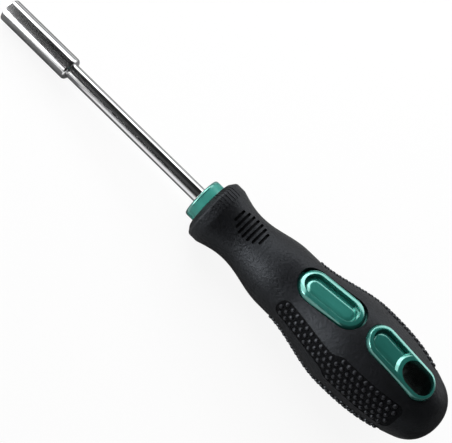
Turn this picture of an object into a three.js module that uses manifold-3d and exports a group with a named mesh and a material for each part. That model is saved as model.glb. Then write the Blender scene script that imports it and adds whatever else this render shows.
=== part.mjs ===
// Bit-holder screwdriver: a hexagon socket on a round shaft, in a hard plastic core with a soft grip.
// Millimetres. +X runs along the tool's axis towards the tip, +Z is up, out of the oval plates.
// The origin is the bit seat: the centre of the magnet's front face, where a bit comes to rest.
import * as THREE from 'three';
import { mergeVertices } from 'three/addons/utils/BufferGeometryUtils.js';
import Module from 'manifold-3d';

const wasm = await Module();
wasm.setup();

const degrees = Math.PI / 180;

// Blade: shaft and socket
const bladeLength = 100;
const shaftDiameter = 6;
const shaftInHandle = 72;
const wingLength = 9;
const wingSpan = 10;
const wingThickness = 1.8;
const wingFromEnd = 6;
const socketLength = 33;
const socketMouthRound = 0.35;
const socketShoulderRound = 1.2;

// Bit seat: hexagon bore for a 6.35 mm bit, magnet and retaining ring
const hexAcrossFlats = 6.4;
const seatDepth = 15;
const leadInDepth = 0.5;
const magnetLength = 4;
const ringFromMouth = 4.6;
const ringWidth = 0.8;
const ringWall = 0.6;
const ringPlay = 0.15;
const ringBite = 0.35;
const ringOpening = 50 * degrees;
const grooveWall = 0.65;

// Handle outline: places are measured back from the front of the collar, or forward from the butt
const collarDiameter = 16.4;
const collarLength = 4.4;
const collarRound = 0.5;
const handleLength = 118;
const gripWall = 2.6;
const flareFaceDiameter = 20.2;
const flareDiameter = 25.4;
const flareChamfer = 1.9;
const flareBand = 3.9;
const flareFall = 0.31;
const waistAt = 21.8;
const waistDiameter = 20.8;
const shoulderAt = 42;
const shoulderBand = 4.5;
const shoulderDiameter = 26.8;
const bellyFromButt = 40.5;
const bellyDiameter = 36.6;
const heelFromButt = 8.5;
const heelDiameter = 26;
const heelFall = 0.38;
const buttDome = 15;
const levelOut = 0.37;

// Oval plates of the core, alike on the upper and the lower face
const namePlate = {
  fromButt: 58.85, length: 25.9, width: 11.6, slope: 11 * degrees, proud: 0.4, skirt: 0.9, skirtDepth: 2,
};
const hangPlate = {
  fromButt: 26.1, length: 30.4, width: 11.6, slope: -7 * degrees, proud: 0.2, skirt: 0.6, skirtDepth: 1.5,
};
const plateRim = 1;
const plateRoot = 9;
const recessDepth = 2.6;
const recessDraft = 1.3;
const hangHoleLength = 13.8;
const hangHoleLip = 2;

// Thumb ribs at the waist, on the upper and the lower face
const ribCount = 7;
const ribPitch = 2;
const ribGroove = 1.05;
const ribDepth = 0.8;
const ribFieldLength = 14.8;
const ribFieldWidth = 9.8;

// Dotted panels: four, each narrow in front and wider behind, with staggered rows of dots
const panelAngle = 63 * degrees;
const panelFrontFromButt = 70.8;
const panelStepFromButt = 45;
const panelRearFromButt = 13.6;
const panelRamp = 2.8;
const panelNarrow = 7.7;
const panelWide = 12.2;
const dotPitch = 2.6;
const dotRowPitch = 2.45;
const dotDiameter = 1.7;
const dotHeight = 0.45;
const dotRoot = 0.1;
const dotMargin = 0.63;

// Clearance between pieces, and how finely round shapes are divided
const fitGap = 0.3;
const handleSides = 36;
const rodSides = 32;
const dotSides = 5;
const curveSteps = 5;
const cutMargin = 1;

// Placing: the handle's own frame starts at the front of the collar
const collarX = seatDepth - bladeLength;
const bellyAt = handleLength - bellyFromButt;
const heelAt = handleLength - heelFromButt;
const faceTurns = [0, Math.PI];

const chrome = new THREE.MeshStandardMaterial({ color: 0xd6d8dc, metalness: 1, roughness: 0.12 });
const springSteel = new THREE.MeshStandardMaterial({ color: 0x83868c, metalness: 1, roughness: 0.35 });
const magnetPlating = new THREE.MeshStandardMaterial({ color: 0xb4b6ba, metalness: 1, roughness: 0.25 });
const greenPlastic = new THREE.MeshStandardMaterial({ color: 0x2f8f82, metalness: 0, roughness: 0.35 });
const blackRubber = new THREE.MeshStandardMaterial({ color: 0x2a2b2e, metalness: 0, roughness: 0.75 });

// A closed geometry as a solid that can be joined and cut
function solidOf(geometry) {
  const bare = geometry.clone();
  bare.deleteAttribute('normal');
  bare.deleteAttribute('uv');
  const merged = mergeVertices(bare, 1e-4);
  const corners = merged.index.array;
  const kept = [];
  for (let i = 0; i < corners.length; i += 3) {
    const [a, b, c] = [corners[i], corners[i + 1], corners[i + 2]];
    if (a !== b && b !== c && c !== a) kept.push(a, b, c);
  }
  const vertProperties = new Float32Array(merged.attributes.position.array);
  return new wasm.Manifold(new wasm.Mesh({ numProp: 3, vertProperties, triVerts: new Uint32Array(kept) }));
}

function meshOf(solid, name, material) {
  const { vertProperties, triVerts } = solid.getMesh();
  const geometry = new THREE.BufferGeometry();
  geometry.setAttribute('position', new THREE.BufferAttribute(new Float32Array(vertProperties), 3));
  geometry.setIndex(new THREE.BufferAttribute(new Uint32Array(triVerts), 1));
  geometry.computeVertexNormals();
  const mesh = new THREE.Mesh(geometry, material);
  mesh.name = name;
  return mesh;
}

// A solid turned about the tool's axis. The path runs rearwards as (distance behind the front, radius).
function turned(path, sides) {
  const points = path.getPoints(curveSteps).map((p) => new THREE.Vector2(Math.max(p.y, 0), -p.x)).reverse();
  const lathe = new THREE.LatheGeometry(points, sides, Math.PI / sides);
  return solidOf(lathe.rotateZ(-Math.PI / 2));
}

function rod(front, rear, radius, sides) {
  const path = new THREE.Path().moveTo(front, 0).lineTo(front, radius).lineTo(rear, radius).lineTo(rear, 0);
  return turned(path, sides);
}

function box(length, width, height, x, y, z) {
  return solidOf(new THREE.BoxGeometry(length, width, height).translate(x, y, z));
}

function stadium(length, width) {
  const radius = width / 2;
  const reach = length / 2 - radius;
  const shape = new THREE.Shape();
  shape.absarc(reach, 0, radius, -Math.PI / 2, Math.PI / 2, false);
  shape.absarc(-reach, 0, radius, Math.PI / 2, 1.5 * Math.PI, false);
  return shape;
}

function extruded(shape, depth, bevel = {}) {
  const options = { depth, bevelEnabled: false, curveSegments: curveSteps, ...bevel };
  return new THREE.ExtrudeGeometry(shape, options);
}

// Walls that lean out by a spread over a rise, at both ends of an extruded shape
function leaning(spread, rise) {
  return { bevelEnabled: true, bevelSegments: 1, bevelSize: spread, bevelThickness: rise };
}

// Blade, in a frame whose front is the bit seat: distances run rearwards from the magnet's face
function makeSocket() {
  const hexCorner = hexAcrossFlats / Math.sqrt(3);
  const grooveRadius = hexCorner - ringBite + ringWall + ringPlay;
  const radius = grooveRadius + grooveWall;
  const front = -seatDepth;
  const rear = socketLength - seatDepth;
  const outline = new THREE.Path().moveTo(front, 0).lineTo(front, radius - socketMouthRound);
  outline.quadraticCurveTo(front, radius, front + socketMouthRound, radius);
  outline.lineTo(rear - socketShoulderRound, radius);
  outline.quadraticCurveTo(rear, radius, rear, radius - socketShoulderRound);
  outline.lineTo(rear, 0);

  const hexLength = seatDepth + cutMargin;
  const hexagon = new THREE.CylinderGeometry(hexCorner, hexCorner, hexLength, 6).rotateZ(-Math.PI / 2);
  hexagon.translate(hexLength / 2, 0, 0);
  const ahead = front - cutMargin;
  const leadIn = new THREE.Path().moveTo(ahead, 0).lineTo(ahead, hexCorner + cutMargin);
  leadIn.lineTo(front + leadInDepth, hexCorner - leadInDepth).lineTo(front + leadInDepth, 0);
  const grooveFront = front + ringFromMouth - ringWidth / 2 - ringPlay;
  const groove = rod(grooveFront, grooveFront + ringWidth + 2 * ringPlay, grooveRadius, rodSides);
  const shaftBore = rod(0, rear + cutMargin, shaftDiameter / 2 + fitGap, rodSides);
  return turned(outline, rodSides)
    .subtract(solidOf(hexagon))
    .subtract(turned(leadIn, rodSides))
    .subtract(groove)
    .subtract(shaftBore);
}

function makeRetainingRing() {
  const outer = hexAcrossFlats / Math.sqrt(3) - ringBite + ringWall;
  const start = ringOpening / 2;
  const end = 2 * Math.PI - ringOpening / 2;
  const shape = new THREE.Shape();
  shape.absarc(0, 0, outer, start, end, false);
  shape.absarc(0, 0, outer - ringWall, end, start, true);
  const ring = extruded(shape, ringWidth, { curveSegments: rodSides / 2 });
  ring.translate(0, 0, seatDepth - ringFromMouth - ringWidth / 2);
  return solidOf(ring.rotateY(Math.PI / 2).rotateX(Math.PI));
}

function makeMagnet() {
  return rod(0, magnetLength, shaftDiameter / 2, rodSides);
}

// The flattened length that keys the shaft into the core, ahead of the shaft's rear end
function shaftWings(rear, gap) {
  const middle = rear - wingFromEnd - wingLength / 2;
  return box(wingLength + 2 * gap, wingSpan + 2 * gap, wingThickness + 2 * gap, -middle, 0, 0);
}

function makeShaft() {
  const rear = bladeLength - seatDepth + shaftInHandle;
  return rod(magnetLength, rear, shaftDiameter / 2, rodSides).add(shaftWings(rear, 0));
}

// Handle, in a frame whose front is the front of the collar
function followToButt(path, startRadius, inset) {
  const bandFront = shoulderAt;
  const bandRear = bandFront + shoulderBand;
  const end = handleLength - inset;
  const toShoulder = (bandFront - waistAt) * levelOut;
  const toBelly = (bellyAt - bandRear) * levelOut;
  const toHeel = (heelAt - bellyAt) * levelOut;
  const toButt = (end - heelAt) / 2;
  const shoulder = shoulderDiameter / 2 - inset;
  const belly = bellyDiameter / 2 - inset;
  const heel = heelDiameter / 2 - inset;
  const level = bandFront - toShoulder;
  path.bezierCurveTo(waistAt + toShoulder, startRadius, level, shoulder, bandFront, shoulder);
  path.lineTo(bandRear, shoulder);
  path.bezierCurveTo(bandRear + toBelly, shoulder, bellyAt - toBelly, belly, bellyAt, belly);
  path.bezierCurveTo(bellyAt + toHeel, belly, heelAt - toHeel, heel + toHeel * heelFall, heelAt, heel);
  path.bezierCurveTo(heelAt + toButt, heel - toButt * heelFall, end, buttDome / 2, end, 0);
  return path;
}

function gripOutline(inset) {
  const face = collarLength + inset;
  const flare = flareDiameter / 2 - inset;
  const waist = waistDiameter / 2 - inset;
  const bandFront = collarLength + flareChamfer;
  const bandRear = bandFront + flareBand;
  const toWaist = (waistAt - bandRear) * levelOut;
  const path = new THREE.Path().moveTo(face, 0).lineTo(face, flareFaceDiameter / 2 - inset);
  path.lineTo(bandFront, flare).lineTo(bandRear, flare);
  const fall = toWaist * flareFall;
  path.bezierCurveTo(bandRear + toWaist, flare - fall, waistAt - toWaist, waist, waistAt, waist);
  return followToButt(path, waist, inset);
}

function coreOutline(growth) {
  const radius = collarDiameter / 2 + growth;
  const path = new THREE.Path().moveTo(-growth, 0).lineTo(-growth, radius - collarRound);
  path.quadraticCurveTo(-growth, radius, collarRound - growth, radius).lineTo(waistAt, radius);
  return followToButt(path, radius, gripWall - growth);
}

// The grip's radius and its slope at a distance behind the front of the collar
function gripAt(distance) {
  const points = gripOutline(0).getPoints(curveSteps);
  const after = points.findIndex((p) => p.x > distance);
  const [a, b] = [points[after - 1], points[after]];
  const slope = (b.y - a.y) / (b.x - a.x);
  return { radius: a.y + slope * (distance - a.x), slope };
}

// Moves a geometry from a plate's own frame, where the rim's plane is z = 0, to its place on a face
function onPlate(geometry, plate, faceTurn) {
  const middle = handleLength - plate.fromButt;
  const height = gripAt(middle).radius + plate.proud;
  return solidOf(geometry.rotateY(plate.slope).translate(-middle, 0, height).rotateX(faceTurn));
}

function plateBoss(plate, faceTurn) {
  const depth = plateRoot - 2 * plate.skirtDepth;
  const skirt = leaning(plate.skirt, plate.skirtDepth);
  const boss = extruded(stadium(plate.length, plate.width), depth, skirt);
  return onPlate(boss.translate(0, 0, -depth - plate.skirtDepth), plate, faceTurn);
}

function plateWindow(plate, faceTurn) {
  const spread = 2 * (plate.skirt + fitGap);
  const window = extruded(stadium(plate.length + spread, plate.width + spread), plateRoot + gripWall);
  return onPlate(window.translate(0, 0, -plateRoot), plate, faceTurn);
}

function plateRecess(plate, faceTurn) {
  const inset = 2 * (plateRim + recessDraft);
  const floor = stadium(plate.length - inset, plate.width - inset);
  return onPlate(extruded(floor, cutMargin, leaning(recessDraft, recessDepth)), plate, faceTurn);
}

const hangHoleWidth = hangPlate.width - 2 * plateRim;
const hangHoleBack = hangPlate.length / 2 - plateRim - hangHoleLength / 2;

function hangHoleCollar(faceTurn) {
  const outline = stadium(hangHoleLength + 2 * hangHoleLip, hangHoleWidth + 2 * hangHoleLip);
  const collar = extruded(outline, plateRoot);
  return onPlate(collar.translate(-hangHoleBack, 0, -plateRoot / 2), hangPlate, faceTurn);
}

function hangHole() {
  const through = bellyDiameter + 2 * plateRoot;
  const hole = extruded(stadium(hangHoleLength, hangHoleWidth), through);
  const middle = handleLength - hangPlate.fromButt + hangHoleBack * Math.cos(hangPlate.slope);
  return solidOf(hole.translate(-middle, 0, -through / 2));
}

function makeCore() {
  let core = turned(coreOutline(0), handleSides);
  for (const faceTurn of faceTurns) {
    core = core.add(plateBoss(namePlate, faceTurn)).add(plateBoss(hangPlate, faceTurn));
  }
  for (const faceTurn of faceTurns) {
    const fingerRecess = plateRecess(hangPlate, faceTurn).subtract(hangHoleCollar(faceTurn));
    core = core.subtract(plateRecess(namePlate, faceTurn)).subtract(fingerRecess);
  }
  const bore = rod(-cutMargin, shaftInHandle + fitGap, shaftDiameter / 2 + fitGap, rodSides);
  const wingSlot = shaftWings(shaftInHandle, fitGap);
  return core.subtract(hangHole()).subtract(bore).subtract(wingSlot);
}

function ribGrooves() {
  const reach = flareDiameter / 2;
  let grooves = null;
  for (let i = 0; i < ribCount; i += 1) {
    const offset = (i - (ribCount - 1) / 2) * ribPitch;
    const width = ribFieldWidth * Math.sqrt(1 - (2 * offset / ribFieldLength) ** 2);
    const groove = box(ribGroove, width, 2 * reach, -waistAt - offset, 0, 0);
    grooves = grooves ? grooves.add(groove) : groove;
  }
  return grooves.subtract(turned(gripOutline(ribDepth), handleSides));
}

function panelHalfWidthAt(distance) {
  const step = handleLength - panelStepFromButt;
  return (distance < step + panelRamp ? panelNarrow : panelWide) / 2;
}

// Where the dots of one panel stand: distance behind the front of the collar, and arc from its middle line
function dotPlaces() {
  const edge = dotDiameter / 2 + dotMargin;
  const first = handleLength - panelFrontFromButt + edge;
  const last = handleLength - panelRearFromButt - edge;
  const outerRow = Math.floor((panelWide - dotDiameter) / 2 / dotRowPitch);
  const places = [];
  for (let row = -outerRow; row <= outerRow; row += 1) {
    const arc = row * dotRowPitch;
    const stagger = row % 2 === 0 ? 0 : dotPitch / 2;
    for (let distance = first + stagger; distance <= last; distance += dotPitch) {
      if (Math.abs(arc) + dotDiameter / 2 <= panelHalfWidthAt(distance)) places.push({ distance, arc });
    }
  }
  return places;
}

function dots() {
  const panelAngles = [panelAngle, -panelAngle, Math.PI - panelAngle, Math.PI + panelAngle];
  const height = dotRoot + dotHeight;
  const rootRadius = dotDiameter / 2 * height / dotHeight;
  const dot = new THREE.ConeGeometry(rootRadius, height, dotSides);
  dot.rotateX(Math.PI / 2).translate(0, 0, dotHeight - height / 2);
  const studs = dotPlaces().flatMap(({ distance, arc }) => {
    const { radius, slope } = gripAt(distance);
    const stud = dot.clone().rotateY(Math.atan(slope)).translate(-distance, 0, radius);
    return panelAngles.map((angle) => stud.clone().rotateX(angle + arc / radius));
  });
  return wasm.Manifold.union(studs.map(solidOf));
}

function makeGrip() {
  let grip = turned(gripOutline(0), handleSides).add(dots());
  for (const faceTurn of faceTurns) {
    grip = grip.subtract(plateWindow(namePlate, faceTurn)).subtract(plateWindow(hangPlate, faceTurn));
  }
  return grip.subtract(ribGrooves()).subtract(turned(coreOutline(fitGap), handleSides));
}

const blade = new THREE.Group();
blade.add(meshOf(makeSocket(), 'bit_socket', chrome));
blade.add(meshOf(makeRetainingRing(), 'retaining_ring', springSteel));
blade.add(meshOf(makeMagnet(), 'bit_magnet', magnetPlating));
blade.add(meshOf(makeShaft(), 'shaft', chrome));

const handle = new THREE.Group();
handle.position.x = collarX;
handle.add(meshOf(makeCore(), 'handle_core', greenPlastic));
handle.add(meshOf(makeGrip(), 'soft_grip', blackRubber));

const bitHolder = new THREE.Group();
bitHolder.add(blade, handle);

export default bitHolder;
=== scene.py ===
import math

import bmesh
import bpy
from mathutils import Matrix, Vector


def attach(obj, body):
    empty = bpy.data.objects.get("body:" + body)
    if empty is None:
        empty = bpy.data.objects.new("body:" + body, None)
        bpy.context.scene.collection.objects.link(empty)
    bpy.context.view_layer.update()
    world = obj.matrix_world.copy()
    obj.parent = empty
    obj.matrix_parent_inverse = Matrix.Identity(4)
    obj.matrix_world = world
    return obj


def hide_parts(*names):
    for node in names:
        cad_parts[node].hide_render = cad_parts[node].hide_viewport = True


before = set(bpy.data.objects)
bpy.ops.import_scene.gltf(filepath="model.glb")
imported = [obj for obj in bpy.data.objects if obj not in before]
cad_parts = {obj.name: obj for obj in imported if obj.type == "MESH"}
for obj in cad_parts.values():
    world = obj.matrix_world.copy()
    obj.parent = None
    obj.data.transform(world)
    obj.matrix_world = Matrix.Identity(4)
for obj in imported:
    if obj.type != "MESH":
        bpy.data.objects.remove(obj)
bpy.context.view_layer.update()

# Pieces are modelled in millimetres in the part's own frame, and made metres when they are finished.
METRES = 0.001
JOIN_WITHIN = 1e-4

# Blade
SEAT_DEPTH = 15
BLADE_LENGTH = 100
COLLAR_X = SEAT_DEPTH - BLADE_LENGTH
SHAFT_RADIUS = 3
SHAFT_IN_HANDLE = 72
SHAFT_END_ROUND = 0.4
WING_LENGTH = 9
WING_SPAN = 10
WING_THICKNESS = 1.8
WING_FROM_END = 6
SOCKET_LENGTH = 33
SOCKET_RADIUS = 4.745
SOCKET_MOUTH_ROUND = 0.35
SOCKET_SHOULDER_ROUND = 1.2
HEX_SIDES = 6
HEX_FLATS = 6.4
HEX_CORNER = HEX_FLATS / math.sqrt(3)
LEAD_IN = 0.5
GROOVE_RADIUS = 4.095
RING_FROM_MOUTH = 4.6
RING_X = SEAT_DEPTH - RING_FROM_MOUTH
RING_WIDTH = 0.8
RING_WALL = 0.6
RING_PLAY = 0.15
RING_OUTER = 3.945
RING_ROUND = 0.14
RING_OPENING = math.radians(50)
MAGNET_LENGTH = 4
MAGNET_ROUND = 0.3

# Handle outline: places are distances behind the front of the collar
HANDLE_LENGTH = 118
GRIP_WALL = 2.6
COLLAR_RADIUS = 8.2
COLLAR_LENGTH = 4.4
COLLAR_ROUND = 0.9
FLARE_FACE_RADIUS = 10.1
FLARE_RADIUS = 12.7
FLARE_CHAMFER = 1.9
FLARE_BAND = 3.9
FLARE_FALL = 0.31
FLARE_ROUND = 0.6
WAIST_AT = 21.8
WAIST_RADIUS = 10.4
SHOULDER_AT = 42
SHOULDER_BAND = 4.5
SHOULDER_RADIUS = 13.4
BELLY_AT = 77.5
BELLY_RADIUS = 18.3
HEEL_AT = 109.5
HEEL_RADIUS = 13
HEEL_FALL = 0.38
BUTT_DOME = 7.5
LEVEL_OUT = 0.37

# Oval plates: place, length, width, slope and height above the grip, how far the skirt spreads and drops,
# the slope of the plate's outside, how far in the rim is highest, the radius of its crown, and how far the
# middle of the recess rises
NAME_PLATE = dict(at=59.15, length=25.9, width=11.6, slope=math.radians(11), proud=0.1,
                  skirt=0.9, drop=2.0, outside=math.radians(60), rim=1.5, crown=5,
                  middle=1)
HANG_PLATE = dict(at=91.9, length=30.4, width=11.6, slope=math.radians(-7), proud=0.2,
                  skirt=0.6, drop=1.5, outside=math.radians(67), rim=1.3, crown=4.3,
                  middle=1.5)
RIM_OUTER_ROUND = 0.5
RIM_INNER_ROUND = 0.08
RIM_SHED = math.radians(24)
RIM_TILT = math.radians(8)
RIM_INSIDE = math.radians(87)
ARC_STEPS = 4
PLATE_ROOT = 9
RECESS_DEPTH = 2.6
MOAT_WIDTH = 0.5
MIDDLE_ROUND = 0.4
MIDDLE_SIDE = math.radians(80)
MIDDLE_CROWN = 4
MIDDLE_SHED = math.radians(26)
HOLE_EDGE = 0.8
HOLE_EDGE_STEPS = 3
HOLE_EDGE_ANGLE = math.radians(30)
HANG_HOLE_LENGTH = 13.2
HANG_HOLE_WIDTH = 9.6
HANG_HOLE_BACK = (HANG_PLATE["length"] - HANG_PLATE["width"] + HANG_HOLE_WIDTH - HANG_HOLE_LENGTH) / 2
HANG_HOLE_LIP = 2.6
CORE_HOLE_SLACK = 0.2
LIP_CROWN = 5
LIP_ROUND = 0.4
LIP_SHED = math.radians(28)
LIP_SIDE = math.radians(42)
WINDOW_GAP = 0.15
NAME_WINDOW_SLACK = 0.5
MOULDED_GAP = 0.03

# Thumb ribs, flare lines and dotted panels of the grip
RIB_COUNT = 7
RIB_PITCH = 2
RIB_GROOVE = 1.05
RIB_DEPTH = 0.8
RIB_FIELD_LENGTH = 14.8
RIB_FIELD_WIDTH = 9.8
LINE_COUNT = 8
LINE_PITCH = math.radians(7)
LINE_WIDTH = 0.5
LINE_DEPTH = 0.2
LINE_LENGTH = 11
PANEL_ANGLES = [math.radians(a) for a in (63, -63, 117, -117)]
PANEL_FRONT = 47.2
PANEL_STEP = 73
PANEL_RAMP = 2.8
PANEL_REAR = 104.4
PANEL_NARROW = 7.7
PANEL_WIDE = 12.2
PANEL_CORNER = 3.2
PANEL_DEPTH = 0.2
DOT_PITCH = 2.6
DOT_ROW_PITCH = 2.45
DOT_PROUD = 0.45
DOT_BASE = 0.98
DOT_TOP = 0.68
DOT_ROOT = 0.3
DOT_ROUND = 0.4
DOT_FROM_FRONT = 0.5
DOT_FROM_REAR = 0.4
NARROW_ROWS = 1
WIDE_ROWS = 2

# How finely round shapes are divided
GRIP_SIDES = 120
ROD_SIDES = 72
OVAL_SIDES = 64
DOT_SIDES = 10
CURVE_STEPS = 14
ROUND_STEPS = 4
SMALL_ROUND_STEPS = 2
ROUND_PULL = 0.55
SMOOTH_BELOW = math.radians(32)
CUT_MARGIN = 1


def curve(start, lead, draw, end, steps=CURVE_STEPS):
    """Points along a curve after its start, towards lead, and into its end from draw."""
    points = []
    for i in range(1, steps + 1):
        t = i / steps
        weights = ((1 - t) ** 3, 3 * t * (1 - t) ** 2, 3 * t * t * (1 - t), t ** 3)
        points.append(tuple(
            sum(w * p[k] for w, p in zip(weights, (start, lead, draw, end))) for k in (0, 1)
        ))
    return points


def eased(corners, rounds):
    """An outline whose corners are rounded, each by its own length along both sides."""
    points = [corners[0]]
    for before, corner, after, size in zip(corners, corners[1:], corners[2:], rounds):
        here = Vector(corner)
        start = here + (Vector(before) - here).normalized() * size
        end = here + (Vector(after) - here).normalized() * size
        points.append(tuple(start))
        points += curve(start, start.lerp(here, ROUND_PULL), end.lerp(here, ROUND_PULL), end, ROUND_STEPS)
    points.append(corners[-1])
    return points


def follow_to_butt(start_radius, inset):
    """The handle's outline from the waist to the butt, moved in by inset."""
    band_rear = SHOULDER_AT + SHOULDER_BAND
    end = HANDLE_LENGTH - inset
    shoulder = SHOULDER_RADIUS - inset
    belly = BELLY_RADIUS - inset
    heel = HEEL_RADIUS - inset
    rise = (SHOULDER_AT - WAIST_AT) * LEVEL_OUT
    swell = (BELLY_AT - band_rear) * LEVEL_OUT
    fall = (HEEL_AT - BELLY_AT) * LEVEL_OUT
    tuck = (end - HEEL_AT) / 2
    points = curve((WAIST_AT, start_radius), (WAIST_AT + rise, start_radius),
                   (SHOULDER_AT - rise, shoulder), (SHOULDER_AT, shoulder))
    points += curve((band_rear, shoulder), (band_rear + swell, shoulder),
                    (BELLY_AT - swell, belly), (BELLY_AT, belly))
    points += curve((BELLY_AT, belly), (BELLY_AT + fall, belly),
                    (HEEL_AT - fall, heel + fall * HEEL_FALL), (HEEL_AT, heel))
    points += curve((HEEL_AT, heel), (HEEL_AT + tuck, heel - tuck * HEEL_FALL),
                    (end, BUTT_DOME), (end, 0))
    return points


def grip_outline(inset, inner):
    """The grip's outline from its front face to the butt, moved in by inset."""
    face = COLLAR_LENGTH + inset
    flare = FLARE_RADIUS - inset
    waist = WAIST_RADIUS - inset
    band_front = COLLAR_LENGTH + FLARE_CHAMFER
    band_rear = band_front + FLARE_BAND
    run = (WAIST_AT - band_rear) * LEVEL_OUT
    corners = [(face, inner), (face, FLARE_FACE_RADIUS - inset), (band_front, flare), (band_rear, flare)]
    points = eased(corners, (FLARE_ROUND, FLARE_ROUND))
    points += curve((band_rear, flare), (band_rear + run, flare - run * FLARE_FALL),
                    (WAIST_AT - run, waist), (WAIST_AT, waist))
    return points + follow_to_butt(waist, inset)


def core_outline(growth):
    """The core's outline from the collar to the butt, grown by growth."""
    radius = COLLAR_RADIUS + growth
    corners = [(-growth, 0), (-growth, radius), (WAIST_AT, radius)]
    return eased(corners, (COLLAR_ROUND,)) + follow_to_butt(radius, GRIP_WALL - growth)


GRIP_SURFACE = grip_outline(0, 0)


def grip_at(distance):
    """The grip's radius and its slope at a distance behind the collar."""
    for (a, low), (b, high) in zip(GRIP_SURFACE, GRIP_SURFACE[1:]):
        if a <= distance < b:
            slope = (high - low) / (b - a)
            return low + slope * (distance - a), slope
    raise ValueError("no grip at that distance")


def along_axis(outline):
    """An outline behind the collar as places along the tool's axis."""
    return [(COLLAR_X - distance, radius) for distance, radius in outline]


# Modelling steps
def edit():
    bpy.ops.object.mode_set(mode="EDIT")


def leave():
    bpy.ops.object.mode_set(mode="OBJECT")


def only(*pieces):
    """Makes these pieces the whole selection, the first of them active."""
    bpy.ops.object.select_all(action="DESELECT")
    for piece in pieces:
        piece.select_set(True)
    bpy.context.view_layer.objects.active = pieces[0]


def pick(test):
    """Selects the vertices of the piece in edit mode whose place passes the test."""
    mesh = bmesh.from_edit_mesh(bpy.context.object.data)
    for vertex in mesh.verts:
        vertex.select = test(vertex.co)
    mesh.select_flush(True)
    mesh.select_flush(False)
    bmesh.update_edit_mesh(bpy.context.object.data)


def close_up():
    """Joins the seam and the poles of the piece in edit mode, and points its faces outwards."""
    bpy.ops.mesh.select_all(action="SELECT")
    bpy.ops.mesh.remove_doubles(threshold=JOIN_WITHIN)
    bpy.ops.mesh.normals_make_consistent(inside=False)


def added(name, primitive, **settings):
    """A new primitive under its name, with nothing else selected."""
    bpy.ops.object.select_all(action="DESELECT")
    primitive(**settings)
    piece = bpy.context.object
    piece.name = name
    return piece


def copied(piece):
    """Another of the piece, with a mesh of its own."""
    copy = piece.copy()
    copy.data = piece.data.copy()
    bpy.context.scene.collection.objects.link(copy)
    return copy


def traced(name, points):
    """A line through points, left in edit mode and selected."""
    piece = added(name, bpy.ops.mesh.primitive_plane_add, size=1)
    edit()
    bpy.ops.mesh.merge(type="CENTER")
    bpy.ops.transform.translate(value=points[0])
    for here, there in zip(points, points[1:]):
        step = tuple(b - a for a, b in zip(here, there))
        bpy.ops.mesh.extrude_vertices_move(TRANSFORM_OT_translate={"value": step})
    bpy.ops.mesh.select_all(action="SELECT")
    return piece


def turned(name, outline, sides):
    """A piece turned about the tool's axis from an outline of places along it and radii."""
    piece = traced(name, [(x, 0, radius) for x, radius in outline])
    bpy.ops.mesh.spin(steps=sides, angle=math.tau, center=(0, 0, 0), axis=(1, 0, 0))
    close_up()
    leave()
    return piece


def rod(name, front, rear, radius, sides=ROD_SIDES):
    return turned(name, [(front, 0), (front, radius), (rear, radius), (rear, 0)], sides)


def oval(name, length, width, height):
    """An upright oval block on z = 0, left in edit mode with its top face selected."""
    circle = bpy.ops.mesh.primitive_circle_add
    piece = added(name, circle, vertices=OVAL_SIDES, radius=width / 2, fill_type="NGON")
    reach = (length - width) / 2
    edit()
    bpy.ops.transform.rotate(value=math.pi / OVAL_SIDES, orient_axis="Z", center_override=(0, 0, 0))
    for side in (1, -1):
        pick(lambda place: place.x * side > 0)
        bpy.ops.transform.translate(value=(side * reach, 0, 0))
    bpy.ops.mesh.select_all(action="SELECT")
    bpy.ops.mesh.extrude_region_move(TRANSFORM_OT_translate={"value": (0, 0, height)})
    return piece


def block(name, size, place):
    piece = added(name, bpy.ops.mesh.primitive_cube_add, size=1, location=place)
    edit()
    bpy.ops.transform.resize(value=size)
    leave()
    settle(piece, Matrix.Translation(place))
    return piece


def settle(piece, placing):
    """Puts the piece at a placing and leaves that in its mesh."""
    piece.matrix_world = placing
    only(piece)
    bpy.ops.object.transform_apply(location=True, rotation=True, scale=True)


def upright(piece):
    """Ends the work on a block in edit mode, with its faces outwards."""
    close_up()
    leave()
    return piece


def combine(piece, operation, *others):
    """Joins the others to the piece, or cuts them from it, and removes them."""
    for other in others:
        only(piece)
        bpy.ops.object.modifier_add(type="BOOLEAN")
        step = piece.modifiers[-1]
        step.operation = operation
        step.solver = "EXACT"
        step.material_mode = "TRANSFER"
        step.object = other
        bpy.ops.object.modifier_apply(modifier=step.name)
        only(other)
        bpy.ops.object.delete()
    return piece


def merged(pieces):
    """Several pieces as one object."""
    only(*pieces)
    bpy.ops.object.join()
    return bpy.context.object


def soften(piece, width, steps, sharper_than):
    """Rounds the piece's sharp edges."""
    only(piece)
    bpy.ops.object.modifier_add(type="BEVEL")
    step = piece.modifiers[-1]
    step.width = width
    step.segments = steps
    step.limit_method = "ANGLE"
    step.angle_limit = sharper_than
    bpy.ops.object.modifier_apply(modifier=step.name)
    return piece


def dress(piece, material):
    """Gives the whole piece one material."""
    piece.data.materials.clear()
    piece.data.materials.append(material)
    return piece


def finish(piece, node, body="holder"):
    """Makes a piece metres, smooths it and puts it in the place of its CAD node."""
    settle(piece, Matrix.Scale(METRES, 4))
    bpy.ops.object.shade_smooth_by_angle(angle=SMOOTH_BELOW)
    bpy.ops.object.modifier_add(type="WEIGHTED_NORMAL")
    step = piece.modifiers[-1]
    step.keep_sharp = True
    bpy.ops.object.modifier_apply(modifier=step.name)
    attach(piece, body)
    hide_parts(node)
    return piece


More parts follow.
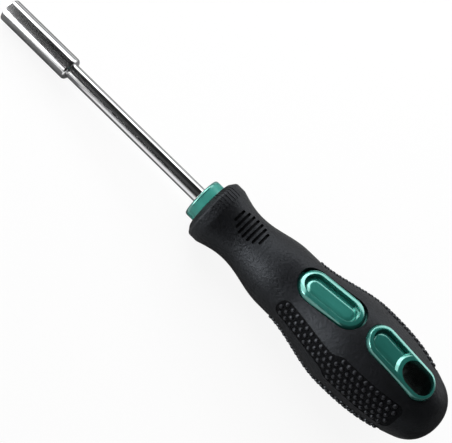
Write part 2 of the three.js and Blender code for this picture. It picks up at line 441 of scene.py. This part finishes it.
# Blade
def make_socket():
    rear = SEAT_DEPTH - SOCKET_LENGTH
    corners = [(SEAT_DEPTH, 0), (SEAT_DEPTH, SOCKET_RADIUS), (rear, SOCKET_RADIUS), (rear, 0)]
    socket = turned("socket", eased(corners, (SOCKET_MOUTH_ROUND, SOCKET_SHOULDER_ROUND)), ROD_SIDES)
    hexagon = rod("hexagon", 0, SEAT_DEPTH + CUT_MARGIN, HEX_CORNER, HEX_SIDES)
    ahead = SEAT_DEPTH + CUT_MARGIN
    inside = SEAT_DEPTH - LEAD_IN
    cone = [(ahead, 0), (ahead, HEX_CORNER + CUT_MARGIN), (inside, HEX_CORNER - LEAD_IN), (inside, 0)]
    groove_half = RING_WIDTH / 2 + RING_PLAY
    groove = rod("groove", RING_X - groove_half, RING_X + groove_half, GROOVE_RADIUS)
    bore = rod("bore", rear - CUT_MARGIN, 0, SHAFT_RADIUS + MOULDED_GAP)
    return combine(socket, "DIFFERENCE", hexagon, turned("cone", cone, ROD_SIDES), groove, bore)


def make_ring():
    ring = added("spring_ring", bpy.ops.mesh.primitive_plane_add, size=1)
    edit()
    bpy.ops.transform.resize(value=(RING_WIDTH, RING_WALL, 1))
    bpy.ops.mesh.bevel(offset=RING_ROUND, segments=SMALL_ROUND_STEPS, affect="VERTICES")
    bpy.ops.mesh.select_all(action="SELECT")
    bpy.ops.transform.translate(value=(RING_X, RING_OUTER - RING_WALL / 2, 0))
    bpy.ops.mesh.spin(steps=ROD_SIDES, angle=math.tau - RING_OPENING, center=(0, 0, 0), axis=(1, 0, 0))
    close_up()
    leave()
    settle(ring, Matrix.Rotation(math.pi / 2 + RING_OPENING / 2, 4, "X"))
    return ring


def make_magnet():
    corners = [(0, 0), (0, SHAFT_RADIUS), (-MAGNET_LENGTH, SHAFT_RADIUS), (-MAGNET_LENGTH, 0)]
    return turned("magnet", eased(corners, (MAGNET_ROUND, MAGNET_ROUND)), ROD_SIDES)


def shaft_wings(gap):
    middle = COLLAR_X - SHAFT_IN_HANDLE + WING_FROM_END + WING_LENGTH / 2
    size = (WING_LENGTH + 2 * gap, WING_SPAN + 2 * gap, WING_THICKNESS + 2 * gap)
    return block("wings", size, (middle, 0, 0))


def make_shaft():
    front = -MAGNET_LENGTH
    rear = COLLAR_X - SHAFT_IN_HANDLE
    corners = [(front, 0), (front, SHAFT_RADIUS), (rear, SHAFT_RADIUS), (rear, 0)]
    shaft = turned("steel_shaft", eased(corners, (SHAFT_END_ROUND, SHAFT_END_ROUND)), ROD_SIDES)
    return combine(shaft, "UNION", shaft_wings(0))


# Handle core
def plate_placing(plate, upside):
    """Where a plate's own frame lies on the upper or the lower face; z = 0 there is the rim."""
    height = grip_at(plate["at"])[0] + plate["proud"]
    turn = Matrix.Rotation(upside, 4, "X")
    place = Matrix.Translation((COLLAR_X - plate["at"], 0, height))
    return turn @ place @ Matrix.Rotation(plate["slope"], 4, "Y")


def inset_arc(radius, start, end, direction=1):
    """Insets the selected face in steps along an arc between two slopes, up or down it."""
    for i in range(ARC_STEPS):
        here = start + (end - start) * i / ARC_STEPS
        there = start + (end - start) * (i + 1) / ARC_STEPS
        bpy.ops.mesh.inset(thickness=radius * abs(math.sin(here) - math.sin(there)),
                           depth=direction * radius * abs(math.cos(there) - math.cos(here)))


def arc_width(radius, high, low):
    return radius * (math.sin(high) - math.sin(low))


def arc_height(radius, high, low):
    return radius * (math.cos(low) - math.cos(high))


def plate_block(name, plate):
    """A plate with its skirt and the outer slope of its rim, its top face selected in edit mode."""
    spread = 2 * plate["skirt"]
    arcs = [(RIM_OUTER_ROUND, plate["outside"], RIM_SHED), (plate["crown"], RIM_SHED, RIM_TILT),
            (RIM_INNER_ROUND, RIM_TILT, 0)]
    run = sum(arc_width(*arc) for arc in arcs)
    fall = sum(arc_height(*arc) for arc in arcs)
    piece = oval(name, plate["length"] + spread, plate["width"] + spread, PLATE_ROOT - plate["drop"])
    bpy.ops.mesh.inset(thickness=plate["skirt"] + plate["rim"] - run, depth=plate["drop"] - fall)
    for arc in arcs:
        inset_arc(*arc)
    return piece


def hollow_out(direction, middle):
    """Draws the selected face over the rim's inner edge and out to a recess with a raised middle."""
    inset_arc(RIM_INNER_ROUND, 0, RIM_INSIDE, direction)
    down = RECESS_DEPTH - arc_height(RIM_INNER_ROUND, RIM_INSIDE, 0)
    bpy.ops.mesh.inset(thickness=down / math.tan(RIM_INSIDE), depth=direction * down)
    bpy.ops.mesh.inset(thickness=MOAT_WIDTH)
    arcs = [(MIDDLE_ROUND, MIDDLE_SIDE, MIDDLE_SHED), (MIDDLE_CROWN, MIDDLE_SHED, 0)]
    rise = middle - sum(arc_height(*arc) for arc in arcs)
    bpy.ops.mesh.inset(thickness=rise / math.tan(MIDDLE_SIDE), depth=-direction * rise)
    for arc in arcs:
        inset_arc(*arc, -direction)


def lowered(piece, drop):
    settle(piece, Matrix.Translation((0, 0, -drop)))
    return piece


def make_name_plate():
    piece = plate_block("name_plate", NAME_PLATE)
    hollow_out(-1, NAME_PLATE["middle"])
    return lowered(upright(piece), PLATE_ROOT)


def make_hang_plate():
    plate = lowered(upright(plate_block("hang_plate", HANG_PLATE)), PLATE_ROOT)
    upright_turn = Matrix.Rotation(-HANG_PLATE["slope"], 4, "Y")
    centre = Matrix.Translation((-HANG_HOLE_BACK, 0, 0))
    through = upright(oval("through", HANG_HOLE_LENGTH, HANG_HOLE_WIDTH, 4 * PLATE_ROOT))
    settle(through, centre @ upright_turn @ Matrix.Translation((0, 0, -2 * PLATE_ROOT)))
    soften(combine(plate, "DIFFERENCE", through), HOLE_EDGE, HOLE_EDGE_STEPS, HOLE_EDGE_ANGLE)

    rim = 2 * HANG_PLATE["rim"] + MOULDED_GAP
    pocket = oval("pocket", HANG_PLATE["length"] - rim, HANG_PLATE["width"] - rim, CUT_MARGIN)
    hollow_out(1, HANG_PLATE["middle"])
    settle(upright(pocket), Matrix.Rotation(math.pi, 4, "X") @ Matrix.Translation((0, 0, -CUT_MARGIN)))
    lip = 2 * HANG_HOLE_LIP
    root = PLATE_ROOT / 2
    rise = arc_height(LIP_CROWN, LIP_SIDE, LIP_SHED) + arc_height(LIP_ROUND, LIP_SHED, 0)
    surround = oval("surround", HANG_HOLE_LENGTH + lip, HANG_HOLE_WIDTH + lip, root - rise)
    inset_arc(LIP_CROWN, LIP_SIDE, LIP_SHED)
    inset_arc(LIP_ROUND, LIP_SHED, 0)
    bpy.ops.mesh.extrude_region_move(TRANSFORM_OT_translate={"value": (0, 0, 2 * CUT_MARGIN)})
    settle(upright(surround), centre @ Matrix.Translation((0, 0, -root)))
    return combine(plate, "DIFFERENCE", combine(pocket, "DIFFERENCE", surround))


def make_core():
    core = turned("core", along_axis(core_outline(0)), GRIP_SIDES)
    hole_at = HANG_PLATE["at"] + HANG_HOLE_BACK * math.cos(HANG_PLATE["slope"])
    through = 2 * (BELLY_RADIUS + PLATE_ROOT)
    hole = oval("hole", HANG_HOLE_LENGTH + CORE_HOLE_SLACK, HANG_HOLE_WIDTH + CORE_HOLE_SLACK, through)
    settle(upright(hole), Matrix.Translation((COLLAR_X - hole_at, 0, -through / 2)))
    rear = COLLAR_X - SHAFT_IN_HANDLE
    bore = rod("bore", rear - MOULDED_GAP, COLLAR_X + CUT_MARGIN, SHAFT_RADIUS + MOULDED_GAP)
    combine(core, "DIFFERENCE", hole, bore, shaft_wings(MOULDED_GAP))
    for make_plate, plate in ((make_name_plate, NAME_PLATE), (make_hang_plate, HANG_PLATE)):
        upper = make_plate()
        lower = copied(upper)
        for piece, upside in ((upper, 0), (lower, math.pi)):
            settle(piece, plate_placing(plate, upside))
            combine(core, "UNION", piece)
    return core


# Soft grip
def cut_to_depth(grip, cutters, depth, material):
    """Cuts the cutters into the grip, no deeper than depth below its surface."""
    floor = dress(turned("floor_of_cut", along_axis(grip_outline(depth, 0)), GRIP_SIDES), material)
    cutters = dress(merged(cutters), material)
    combine(grip, "DIFFERENCE", combine(cutters, "DIFFERENCE", floor))


def round_the_axis(cutter, angles):
    """Copies of a cutter, turned to each angle about the tool's axis, in place of it."""
    copies = [copied(cutter) for _ in angles]
    for copy, angle in zip(copies, angles):
        settle(copy, Matrix.Rotation(angle, 4, "X"))
    only(cutter)
    bpy.ops.object.delete()
    return copies


def rib_cutters():
    cutters = []
    height = 2 * FLARE_RADIUS
    for i in range(RIB_COUNT):
        offset = (i - (RIB_COUNT - 1) / 2) * RIB_PITCH
        width = RIB_FIELD_WIDTH * math.sqrt(1 - (2 * offset / RIB_FIELD_LENGTH) ** 2)
        cutter = upright(oval("rib", width, RIB_GROOVE, height))
        place = Matrix.Translation((COLLAR_X - WAIST_AT - offset, 0, -height / 2))
        settle(cutter, place @ Matrix.Rotation(math.pi / 2, 4, "Z"))
        cutters.append(cutter)
    return cutters


def line_cutters():
    line = upright(oval("line", LINE_LENGTH, LINE_WIDTH, FLARE_RADIUS))
    settle(line, Matrix.Translation((COLLAR_X - LINE_LENGTH / 2, 0, WAIST_RADIUS / 2)))
    angles = [(i - (LINE_COUNT - 1) / 2) * LINE_PITCH for i in range(LINE_COUNT)]
    return round_the_axis(line, [angle + face for angle in angles for face in (0, math.pi)])


def panel_cutters():
    """The panels' outline, drawn out from the tool's axis: narrow in front, wider behind."""
    narrow = PANEL_NARROW / 2
    wide = PANEL_WIDE / 2
    edge = [(PANEL_FRONT, narrow), (PANEL_STEP, narrow), (PANEL_STEP + PANEL_RAMP, wide), (PANEL_REAR, wide)]
    there = [(COLLAR_X - back, half) for back, half in edge]
    back_again = [(x, -half) for x, half in reversed(there)]
    corners = [(there[0][0], 0), *there, *back_again, (there[0][0], 0)]
    rounds = (PANEL_CORNER, PANEL_CORNER / 2, PANEL_CORNER / 2, PANEL_CORNER) * 2
    cutter = traced("panel", [(x, y, CUT_MARGIN) for x, y in eased(corners, rounds)])
    bpy.ops.mesh.remove_doubles(threshold=JOIN_WITHIN)
    bpy.ops.mesh.edge_face_add()
    bpy.ops.mesh.extrude_region_move(TRANSFORM_OT_translate={"value": (0, 0, 2 * BELLY_RADIUS)})
    return round_the_axis(upright(cutter), PANEL_ANGLES)


def make_dot():
    """One dot of the panels, standing on its root with z = 0 at the grip's surface."""
    height = DOT_ROOT + PANEL_DEPTH + DOT_PROUD
    cone = bpy.ops.mesh.primitive_cone_add
    dot = added("dot", cone, vertices=DOT_SIDES, radius1=DOT_BASE, radius2=DOT_TOP, depth=height)
    edit()
    pick(lambda place: place.z > 0)
    bpy.ops.mesh.bevel(offset=DOT_ROUND, segments=SMALL_ROUND_STEPS)
    upright(dot)
    settle(dot, Matrix.Translation((0, 0, DOT_PROUD - height / 2)))
    return dot


def dot_places():
    """Distances behind the collar and angles of the dots of one panel, from its middle line."""
    places = []
    front = PANEL_FRONT + DOT_BASE + DOT_FROM_FRONT
    last = PANEL_REAR - DOT_BASE - DOT_FROM_REAR
    count = int((last - PANEL_FRONT) / DOT_PITCH) + 1
    for row in range(-WIDE_ROWS, WIDE_ROWS + 1):
        first = front if abs(row) <= NARROW_ROWS else PANEL_STEP + PANEL_RAMP
        for i in range(count):
            distance = front + (i + (row % 2) / 2) * DOT_PITCH
            if first <= distance <= last:
                places.append((distance, row * DOT_ROW_PITCH / grip_at(distance)[0]))
    return places


def make_dots():
    dot = make_dot()
    dots = []
    for panel in PANEL_ANGLES:
        for distance, angle in dot_places():
            radius, slope = grip_at(distance)
            copy = copied(dot)
            stand = Matrix.Translation((COLLAR_X - distance, 0, radius))
            lean = Matrix.Rotation(math.atan(slope), 4, "Y")
            copy.matrix_world = Matrix.Rotation(panel + angle, 4, "X") @ stand @ lean
            dots.append(copy)
    only(dot)
    bpy.ops.object.delete()
    dots = merged(dots)
    only(dots)
    bpy.ops.object.transform_apply(location=True, rotation=True, scale=True)
    return dots


def make_grip(rubber, recess_shade_rubber, lit_dot_rubber):
    """The grip in its rubber, with painted shade as a darker copy of it in the rib grooves and the panels'
    hollows, and the dots in a lighter, glossier copy as a painted highlight.
    """
    inner = COLLAR_RADIUS + MOULDED_GAP
    outer = grip_outline(0, inner)
    cavity = [p for p in core_outline(MOULDED_GAP) if p[0] > COLLAR_LENGTH]
    outline = [*outer, *reversed(cavity), outer[0]]
    grip = dress(turned("grip", along_axis(outline), GRIP_SIDES), rubber)
    for plate, slack in ((NAME_PLATE, NAME_WINDOW_SLACK), (HANG_PLATE, 0)):
        spread = 2 * (plate["skirt"] + WINDOW_GAP)
        size = (plate["length"] + spread + slack, plate["width"] + spread)
        upper = dress(upright(oval("window", *size, PLATE_ROOT + GRIP_WALL)), rubber)
        settle(upper, Matrix.Translation((-slack / 2, 0, -PLATE_ROOT)))
        lower = copied(upper)
        for window, upside in ((upper, 0), (lower, math.pi)):
            settle(window, plate_placing(plate, upside))
            combine(grip, "DIFFERENCE", window)
    cut_to_depth(grip, rib_cutters(), RIB_DEPTH, recess_shade_rubber)
    cut_to_depth(grip, line_cutters(), LINE_DEPTH, rubber)
    cut_to_depth(grip, panel_cutters(), PANEL_DEPTH, recess_shade_rubber)
    return combine(grip, "UNION", dress(make_dots(), lit_dot_rubber))


# Finishes
class Wire:
    """One output in a node tree. Sums, differences and products of wires add Math nodes."""

    # Where a Mix node keeps its colours, since several of its sockets share a name
    COLOUR_A = 6
    COLOUR_B = 7
    COLOUR_MIXED = 2

    def __init__(self, tree, socket=None):
        self.tree = tree
        self.socket = socket

    def node(self, kind, settings=None, sockets=None, output=0):
        """Adds a node: first its settings, then the values or wires of its sockets."""
        made = self.tree.nodes.new(kind)
        for name, value in (settings or {}).items():
            setattr(made, name, value)
        for key, value in (sockets or {}).items():
            if isinstance(value, Wire):
                self.tree.links.new(value.socket, made.inputs[key])
            else:
                made.inputs[key].default_value = value
        return Wire(self.tree, made.outputs[output])

    def math(self, operation, first, second=0.0, clamp=False):
        settings = {"operation": operation, "use_clamp": clamp}
        return self.node("ShaderNodeMath", settings, {0: first, 1: second})

    def __add__(self, other):
        return self.math("ADD", self, other)

    def __radd__(self, other):
        return self.math("ADD", other, self)

    def __sub__(self, other):
        return self.math("SUBTRACT", self, other)

    def __rsub__(self, other):
        return self.math("SUBTRACT", other, self)

    def __mul__(self, other):
        return self.math("MULTIPLY", self, other)

    def __rmul__(self, other):
        return self.math("MULTIPLY", other, self)

    def noise(self, scale, detail=2.0):
        """Noise over the surface, about 0.5."""
        return self.node("ShaderNodeTexNoise", None, {"Vector": self, "Scale": scale, "Detail": detail})

    def axis(self, name):
        """One coordinate of a place or a direction."""
        return self.node("ShaderNodeSeparateXYZ", None, {"Vector": self}, name)

    def stretched(self, factors):
        return self.node("ShaderNodeMapping", None, {"Vector": self, "Scale": factors})

    def within(self, centre, half, soft):
        """1 where this wire is within half of the centre, falling to 0 over soft beyond that."""
        away = self.math("ABSOLUTE", self - centre)
        return self.math("MULTIPLY", half + soft - away, 1 / soft, clamp=True)

    def past(self, start, soft):
        """0 before the start, rising to 1 over soft."""
        return self.math("MULTIPLY", self - start, 1 / soft, clamp=True)

    def mixing(self, low, high):
        """A colour between two, or between a wire of colour and another, by this wire's value."""
        settings = {"data_type": "RGBA", "clamp_factor": True}
        ends = [end if isinstance(end, Wire) else (*end, 1) for end in (low, high)]
        sockets = {0: self, self.COLOUR_A: ends[0], self.COLOUR_B: ends[1]}
        return self.node("ShaderNodeMix", settings, sockets, self.COLOUR_MIXED)


def new_finish(name, **constants):
    """A material, its shader with constants set, and a wire of the piece's own coordinates."""
    material = bpy.data.materials.new(name)
    material.use_nodes = True
    shader = material.node_tree.nodes["Principled BSDF"]
    for socket, value in constants.items():
        shader.inputs[socket.replace("_", " ")].default_value = value
    place = Wire(material.node_tree).node("ShaderNodeTexCoord", output="Object")
    return material, shader, place


def feed(shader, socket, wire):
    wire.tree.links.new(wire.socket, shader.inputs[socket])


def relief(shader, height, distance, strength):
    """Raises the surface by a height wire."""
    feed(shader, "Normal", height.node(
        "ShaderNodeBump", None, {"Strength": strength, "Distance": distance, "Height": height}))


def rubber_finish(name, dark, light, roughness, gloss):
    material, shader, place = new_finish(name, Specular_IOR_Level=gloss, Specular_Tint=(0.84, 0.91, 1, 1))
    cloud = place.noise(scale=110.0, detail=4.0)
    mottle = place.noise(scale=1050.0)
    grain = place.noise(scale=3600.0, detail=3.0)
    feed(shader, "Base Color", (cloud * 1.5 + grain * 0.4 - 0.45).mixing(dark, light))
    feed(shader, "Roughness", roughness - 0.08 + 0.16 * grain)
    relief(shader, mottle + grain * 0.25, distance=0.00035, strength=0.5)
    return material


# Where the green plastic is dull on the collar, and where painted shade darkens it in the hang hole, in
# metres
DULL_BAND_X = -0.0877
DULL_BAND_HALF = 0.0012
DULL_BAND_EDGE = 0.0006
HOLE_SHADE_TOP = 0.0155
HOLE_SHADE_FRONT_X = -0.170
HOLE_SHADE_EDGE = 0.002


def plastic_finish():
    """Green plastic with a metallic gleam under a clear gloss, dull on the collar, with painted shade in the
    hang hole that darkens it and takes away its gloss.
    """
    material, shader, place = new_finish("green_plastic", Metallic=0.55, Coat_IOR=1.7, Coat_Roughness=0.06)
    along = place.axis("X")
    up = place.axis("Z")
    dull = along.within(DULL_BAND_X, DULL_BAND_HALF, DULL_BAND_EDGE)
    # Painted shade in the hang hole: below the plate tops and behind its front, the colour goes nearly black
    # and the coat fades
    shade_under_top = (HOLE_SHADE_TOP - up.math("ABSOLUTE", up)).past(0, HOLE_SHADE_EDGE)
    depth = shade_under_top * (HOLE_SHADE_FRONT_X - along).past(0, HOLE_SHADE_EDGE)
    flow = place.stretched((0.35, 1.0, 1.0)).noise(scale=240.0, detail=3.0)
    peel = place.noise(scale=1500.0)
    colour = (flow * 1.4 - 0.2).mixing(low=(0.026, 0.220, 0.182), high=(0.044, 0.310, 0.260))
    feed(shader, "Base Color", depth.mixing(low=colour, high=(0.004, 0.012, 0.011)))
    feed(shader, "Roughness", 0.14 + 0.14 * peel + 0.32 * dull)
    feed(shader, "Coat Weight", (1 - 0.85 * dull) * (1 - 0.8 * depth))
    relief(shader, peel, distance=0.00003, strength=0.25)
    return material


def plating_finish(name, low, high, roughness):
    material, shader, place = new_finish(name, Metallic=1.0)
    turning = place.stretched((9.0, 1.0, 1.0)).noise(scale=420.0, detail=5.0)
    smudge = place.noise(scale=130.0, detail=3.0)
    feed(shader, "Base Color", smudge.mixing(low, high))
    feed(shader, "Roughness", roughness + 0.06 * turning + 0.05 * smudge)
    relief(shader, turning, distance=0.00001, strength=0.12)
    return material


# Surroundings
CAMERA_TARGET = Vector((-0.098, 0, 0))
CAMERA_DISTANCE = 0.4004
CAMERA_TILT = math.radians(4.5)
CAMERA_ROLL = math.radians(27.5)
AXIS_IN_PICTURE = math.radians(135.61)
FOCAL_LENGTH = 87.6
SENSOR_WIDTH = 36


def camera_axes():
    """The camera's right, up and back directions for the tool's tilt, roll and angle in the picture."""
    level = math.cos(CAMERA_TILT)
    back = Vector((-math.sin(CAMERA_TILT), level * math.sin(CAMERA_ROLL), level * math.cos(CAMERA_ROLL)))
    tip = Vector((1, 0, 0))
    along = (tip - back * tip.dot(back)).normalized()
    across = back.cross(along)
    right = along * math.cos(AXIS_IN_PICTURE) - across * math.sin(AXIS_IN_PICTURE)
    up = along * math.sin(AXIS_IN_PICTURE) + across * math.cos(AXIS_IN_PICTURE)
    return right, up, back


def place_camera():
    right, up, back = camera_axes()
    camera = bpy.data.objects.new("camera", bpy.data.cameras.new("camera"))
    bpy.context.scene.collection.objects.link(camera)
    camera.data.lens = FOCAL_LENGTH
    camera.data.sensor_width = SENSOR_WIDTH
    turn = Matrix((right, up, back)).transposed().to_4x4()
    camera.matrix_world = Matrix.Translation(CAMERA_TARGET + back * CAMERA_DISTANCE) @ turn
    bpy.context.scene.camera = camera


def round_the_tool(angle):
    """A direction square to the tool's axis, at an angle from the camera towards -Y."""
    angle = math.pi / 2 - CAMERA_ROLL + angle
    return Vector((0, math.cos(angle), math.sin(angle)))


def facing_tool(direction, distance):
    """A placing at a distance from the tool, its -Z towards it and its X along it."""
    back = direction.normalized()
    along = Vector((1, 0, 0))
    turn = Matrix((along, back.cross(along), back)).transposed().to_4x4()
    return Matrix.Translation(CAMERA_TARGET + back * distance) @ turn


def softbox(name, angle, towards_tip, distance, width, length, brightness):
    """A soft lamp that faces the tool, its angles in degrees. Mirrors show the dome's painted reflections
    instead of it.
    """
    light = bpy.data.lights.new(name, "AREA")
    light.shape = "RECTANGLE"
    light.size = length
    light.size_y = width
    light.energy = brightness * math.pi * width * length
    holder = bpy.data.objects.new(name, light)
    bpy.context.scene.collection.objects.link(holder)
    lean = math.radians(towards_tip)
    turned_out = round_the_tool(math.radians(angle)) * math.cos(lean)
    holder.matrix_world = facing_tool(turned_out + Vector((math.sin(lean), 0, 0)), distance)
    holder.visible_camera = False
    holder.visible_glossy = False


def only_in_mirrors(thing):
    """Makes a thing seen in reflections and nowhere else."""
    thing.visible_camera = False
    thing.visible_diffuse = False
    thing.visible_shadow = False
    thing.visible_transmission = False


DOME_RADIUS = 2.5
DOME_SIDES = 64
DOME_RINGS = 32
DOME_DIM = 0.015

# Painted reflections, parts of the dome that glow and are seen only in mirrors: how bright, how far their
# angle slants with the lean towards the tip, their angle from the camera, half their width and their soft
# edge in degrees, and the lean they start at and rise over
DOME_GLOWS = [
    dict(bright=0.3, slant=0.45, angle=112, half=36, soft=6, start=-0.8, rise=0.3),
    dict(bright=2.4, slant=0.45, angle=88, half=11, soft=5, start=-0.75, rise=0.3),
    dict(bright=3.0, slant=0, angle=60, half=16, soft=8, start=0.42, rise=0.1),
    dict(bright=0.5, slant=0, angle=-75, half=15, soft=22, start=-0.22, rise=0.3),
]
MIDDLE_GLOW = dict(bright=0.04, angle=0, half=12, soft=14)
TIP_GLOW = dict(bright=2.8, angle=0, half=45, soft=20)
TIP_LEAN = 0.61
TIP_HALF = 0.15
TIP_EDGE = 0.06

# The key highlight painted on the dome, no lamp: its angle from the camera, its lean and how far it reaches
# from there, the lean at which it narrows to nothing and how fast it widens from there
KEY_BRIGHT = 8.0
KEY_ANGLE = math.radians(-43)
KEY_LEAN = 0.49
KEY_REACH = 0.195
KEY_FOOT = 0.2
KEY_SPREAD = 2.4
KEY_EDGE = 0.5


def glowing(angle, part):
    """How bright a part of the dome is at a wire of angles, before its lean counts."""
    return part["bright"] * angle.within(*(math.radians(part[key]) for key in ("angle", "half", "soft")))


def dome_finish():
    """A painted studio that only the tool's reflections show, glowing by the angle round the tool and the
    lean towards its tip.
    """
    material, shader, place = new_finish(
        "painted_reflection_dome", Base_Color=(0, 0, 0, 1), Specular_IOR_Level=0.0, Emission_Strength=1.0)
    way = place.node("ShaderNodeVectorMath", {"operation": "NORMALIZE"}, {0: place})
    lean, y, z = (way.axis(name) for name in "XYZ")
    level = math.cos(CAMERA_ROLL)
    across = math.sin(CAMERA_ROLL)
    angle = way.math("ARCTAN2", z * across - y * level, y * across + z * level)
    glow = DOME_DIM + glowing(angle, MIDDLE_GLOW)
    glow = glow + glowing(angle, TIP_GLOW) * lean.within(TIP_LEAN, TIP_HALF, TIP_EDGE)
    for part in DOME_GLOWS:
        slanted = angle + part["slant"] * lean
        glow = glow + glowing(slanted, part) * lean.past(part["start"], part["rise"])
    off_centre = angle.math("DIVIDE", angle - KEY_ANGLE, (lean - KEY_FOOT) * KEY_SPREAD)
    off_height = (lean - KEY_LEAN) * (1 / KEY_REACH)
    key = (1 - off_centre * off_centre - off_height * off_height).past(0, KEY_EDGE)
    # Painted highlights and reflections: the dome's glow, which mirrors show
    feed(shader, "Emission Color", glow + KEY_BRIGHT * key)
    return material


def raise_dome():
    dome = added("painted_reflection_dome", bpy.ops.mesh.primitive_uv_sphere_add, radius=DOME_RADIUS,
                 location=CAMERA_TARGET, segments=DOME_SIDES, ring_count=DOME_RINGS)
    only_in_mirrors(dress(dome, dome_finish()))


def floor_placing():
    """Where the floor lies: under the rear plate's rim and the socket's mouth, which carry the tool."""
    rim = plate_placing(HANG_PLATE, 0) @ Vector((HANG_PLATE["length"] / 2, 0, 0))
    rear = Vector((rim.x, 0, -rim.z)) * METRES
    front = Vector((SEAT_DEPTH, 0, -SOCKET_RADIUS)) * METRES
    along = (front - rear).normalized()
    side = Vector((0, 1, 0))
    turn = Matrix((along, side, along.cross(side))).transposed().to_4x4()
    return Matrix.Translation(rear) @ turn


FLOOR_SIZE = 6
FLOOR_WHITENESS = 0.9

# Painted shadow on parts of the floor, which only mirrors show, in metres along and across it: rear, front,
# right, left and shade
MIRROR_SHADOW_PATCHES = [
    (0.143, 0.210, -0.006, 0.065, 0.17),
    (0.074, 0.143, -0.006, 0.016, 0.16),
    (-0.050, 0.074, -0.040, 0.075, 0.55),
    (-0.050, 0.200, -0.150, -0.040, 0.45),
    (0.074, 0.200, -0.040, -0.006, 0.20),
    (-0.300, -0.050, -0.150, 0.150, 0.10),
]
MIRROR_SHADOW_EDGE = 0.0004


def mirror_shadow(place):
    """How far the painted shadow that mirrors show covers the floor at a place, and how dark it is there."""
    along = place.axis("X")
    across = place.axis("Y")
    cover = 0
    shade = 0
    for rear, front, right, left, shadow_grey in MIRROR_SHADOW_PATCHES:
        lengthways = along.within((rear + front) / 2, (front - rear) / 2, MIRROR_SHADOW_EDGE)
        patch = lengthways * across.within((right + left) / 2, (left - right) / 2, MIRROR_SHADOW_EDGE)
        cover = cover + patch
        shade = shade + shadow_grey * patch
    return cover, shade


def seen_directly(wire):
    """1 for what the camera, a mirror or glass shows, 0 for light that falls on other surfaces."""
    camera = wire.node("ShaderNodeLightPath", output="Is Camera Ray")
    mirror = wire.node("ShaderNodeLightPath", output="Is Glossy Ray")
    glass = wire.node("ShaderNodeLightPath", output="Is Transmission Ray")
    return camera.math("MAXIMUM", camera.math("MAXIMUM", camera, mirror), glass)


def lay_floor():
    """A pale floor, white where it is seen, with painted shadow in parts that only mirrors show, which keeps
    the tool's shadow.
    """
    floor = added("pale_floor", bpy.ops.mesh.primitive_plane_add, size=FLOOR_SIZE)
    floor.matrix_world = floor_placing()
    material, shader, place = new_finish("floor_paper", Roughness=0.9, Specular_IOR_Level=0.1)
    cover, shade = mirror_shadow(place)
    # Painted shadow: mirrors see these patches darker, while the camera sees the floor's own shadow
    shadow_grey = cover * place.node("ShaderNodeLightPath", output="Is Glossy Ray")
    pale = place.noise(scale=14.0).mixing(low=(0.93, 0.93, 0.93), high=(0.95, 0.95, 0.95))
    feed(shader, "Base Color", shadow_grey.mixing(low=pale, high=shade))
    white = place.node("ShaderNodeEmission", None, {"Color": (1, 1, 1, 1), "Strength": 1.0})
    paper = Wire(place.tree, shader.outputs[0])
    whiteness = FLOOR_WHITENESS * seen_directly(place) * (1 - shadow_grey)
    shown = place.node("ShaderNodeMixShader", None, {0: whiteness, 1: paper, 2: white})
    place.tree.links.new(shown.socket, place.tree.nodes["Material Output"].inputs["Surface"])
    dress(floor, material)


ROOM_LIGHT = 0.25


def light_the_room():
    world = bpy.data.worlds.new("room")
    bpy.context.scene.world = world
    world.use_nodes = True
    sky = world.node_tree.nodes["Background"]
    wire = Wire(world.node_tree)
    sky.inputs["Color"].default_value = (1, 1, 1, 1)
    feed(sky, "Strength", ROOM_LIGHT + (1 - ROOM_LIGHT) * seen_directly(wire))
    world.cycles_visibility.glossy = False
    softbox("tip_softbox", angle=50, towards_tip=35, distance=0.9, width=0.8, length=0.5, brightness=4.5)
    softbox("right_softbox", angle=82, towards_tip=0, distance=0.6, width=0.22, length=1.2, brightness=3.0)
    bpy.context.scene.view_settings.view_transform = "Standard"


place_camera()
light_the_room()
lay_floor()
raise_dome()

plating = plating_finish("bright_plating", (0.72, 0.725, 0.735), (0.79, 0.795, 0.80), 0.06)
nickel = plating_finish("nickel_plating", (0.42, 0.41, 0.40), (0.52, 0.51, 0.49), 0.18)
spring = plating_finish("spring_wire", (0.28, 0.285, 0.30), (0.40, 0.405, 0.42), 0.24)
rubber = rubber_finish("soft_rubber", (0.0032, 0.0033, 0.0038), (0.0070, 0.0073, 0.0084), 0.46, 0.3)
# A darker copy of the rubber for the rib grooves and panel hollows: painted shade
recess_shade_rubber = rubber_finish("painted_recess_shade", (0.0016, 0.0016, 0.0018), (0.0032, 0.0032, 0.0036), 0.7, 0.1)
# A lighter, glossier copy for the dots: its lighter colour is a painted highlight
lit_dot_rubber = rubber_finish("painted_lit_dots", (0.006, 0.006, 0.007), (0.016, 0.016, 0.018), 0.36, 0.42)
green = plastic_finish()

finish(dress(make_socket(), plating), "bit_socket")
finish(dress(make_shaft(), plating), "shaft")
finish(dress(make_magnet(), nickel), "bit_magnet")
finish(dress(make_ring(), spring), "retaining_ring", body="ring")
finish(dress(make_core(), green), "handle_core")
finish(make_grip(rubber, recess_shade_rubber, lit_dot_rubber), "soft_grip")
